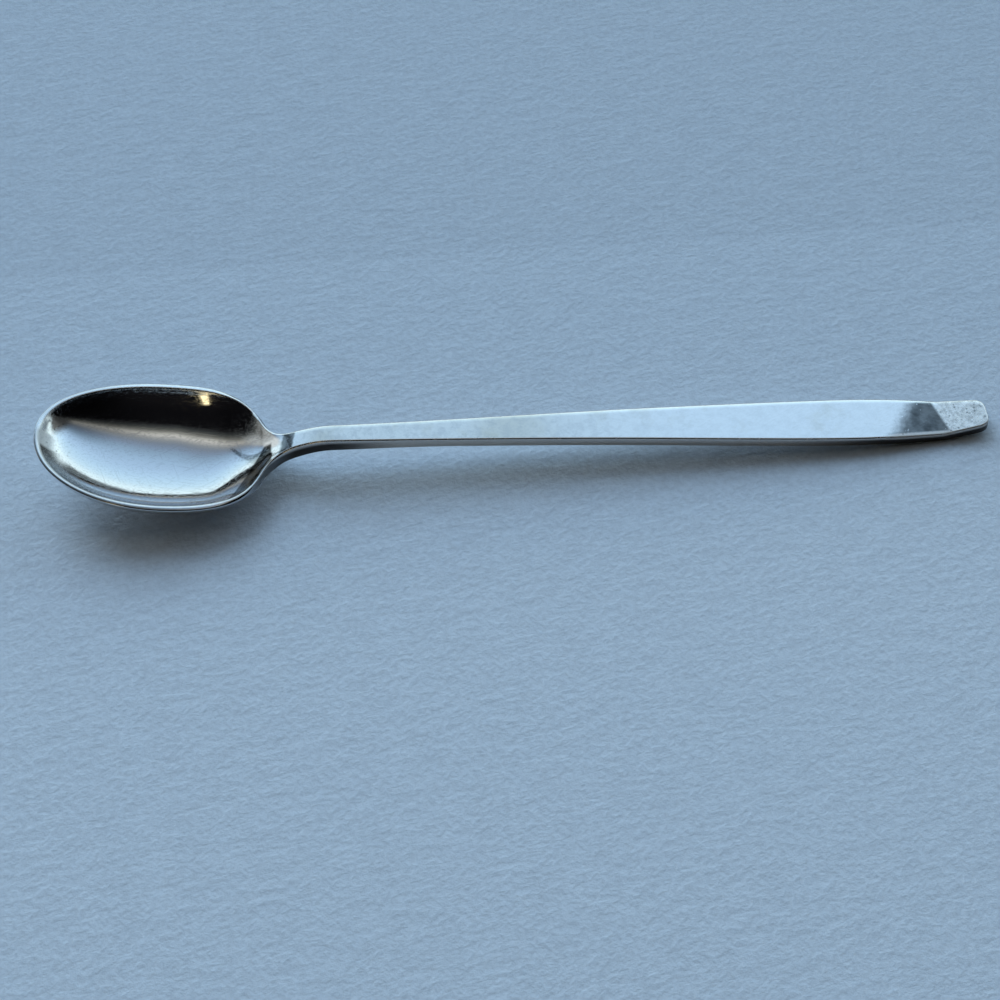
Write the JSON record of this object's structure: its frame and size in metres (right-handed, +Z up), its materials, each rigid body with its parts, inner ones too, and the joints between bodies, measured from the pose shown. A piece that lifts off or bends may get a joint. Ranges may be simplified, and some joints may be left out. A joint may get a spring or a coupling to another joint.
{
  "type": "baby spoon",
  "caption": "Long-handled infant feeding spoon with a small egg-shaped bowl and a flat, slightly flared handle, formed in one piece from polished silver-coloured metal.",
  "frame": {"origin": "on the table, under the middle of the spoon's bounding box, with the spoon lying on its bowl and on the end of its handle", "axes": "+X along the spoon from the bowl's tip to the end of the handle, +Y across it, +Z up out of the bowl"},
  "size_m": [0.1402, 0.0228, 0.0111],
  "materials": {
    "silver": "polished silver, worn, finely scratched and lightly tarnished"
  },
  "bodies": {
    "root": {"spoon": "silver"}
  },
  "joints": []
}
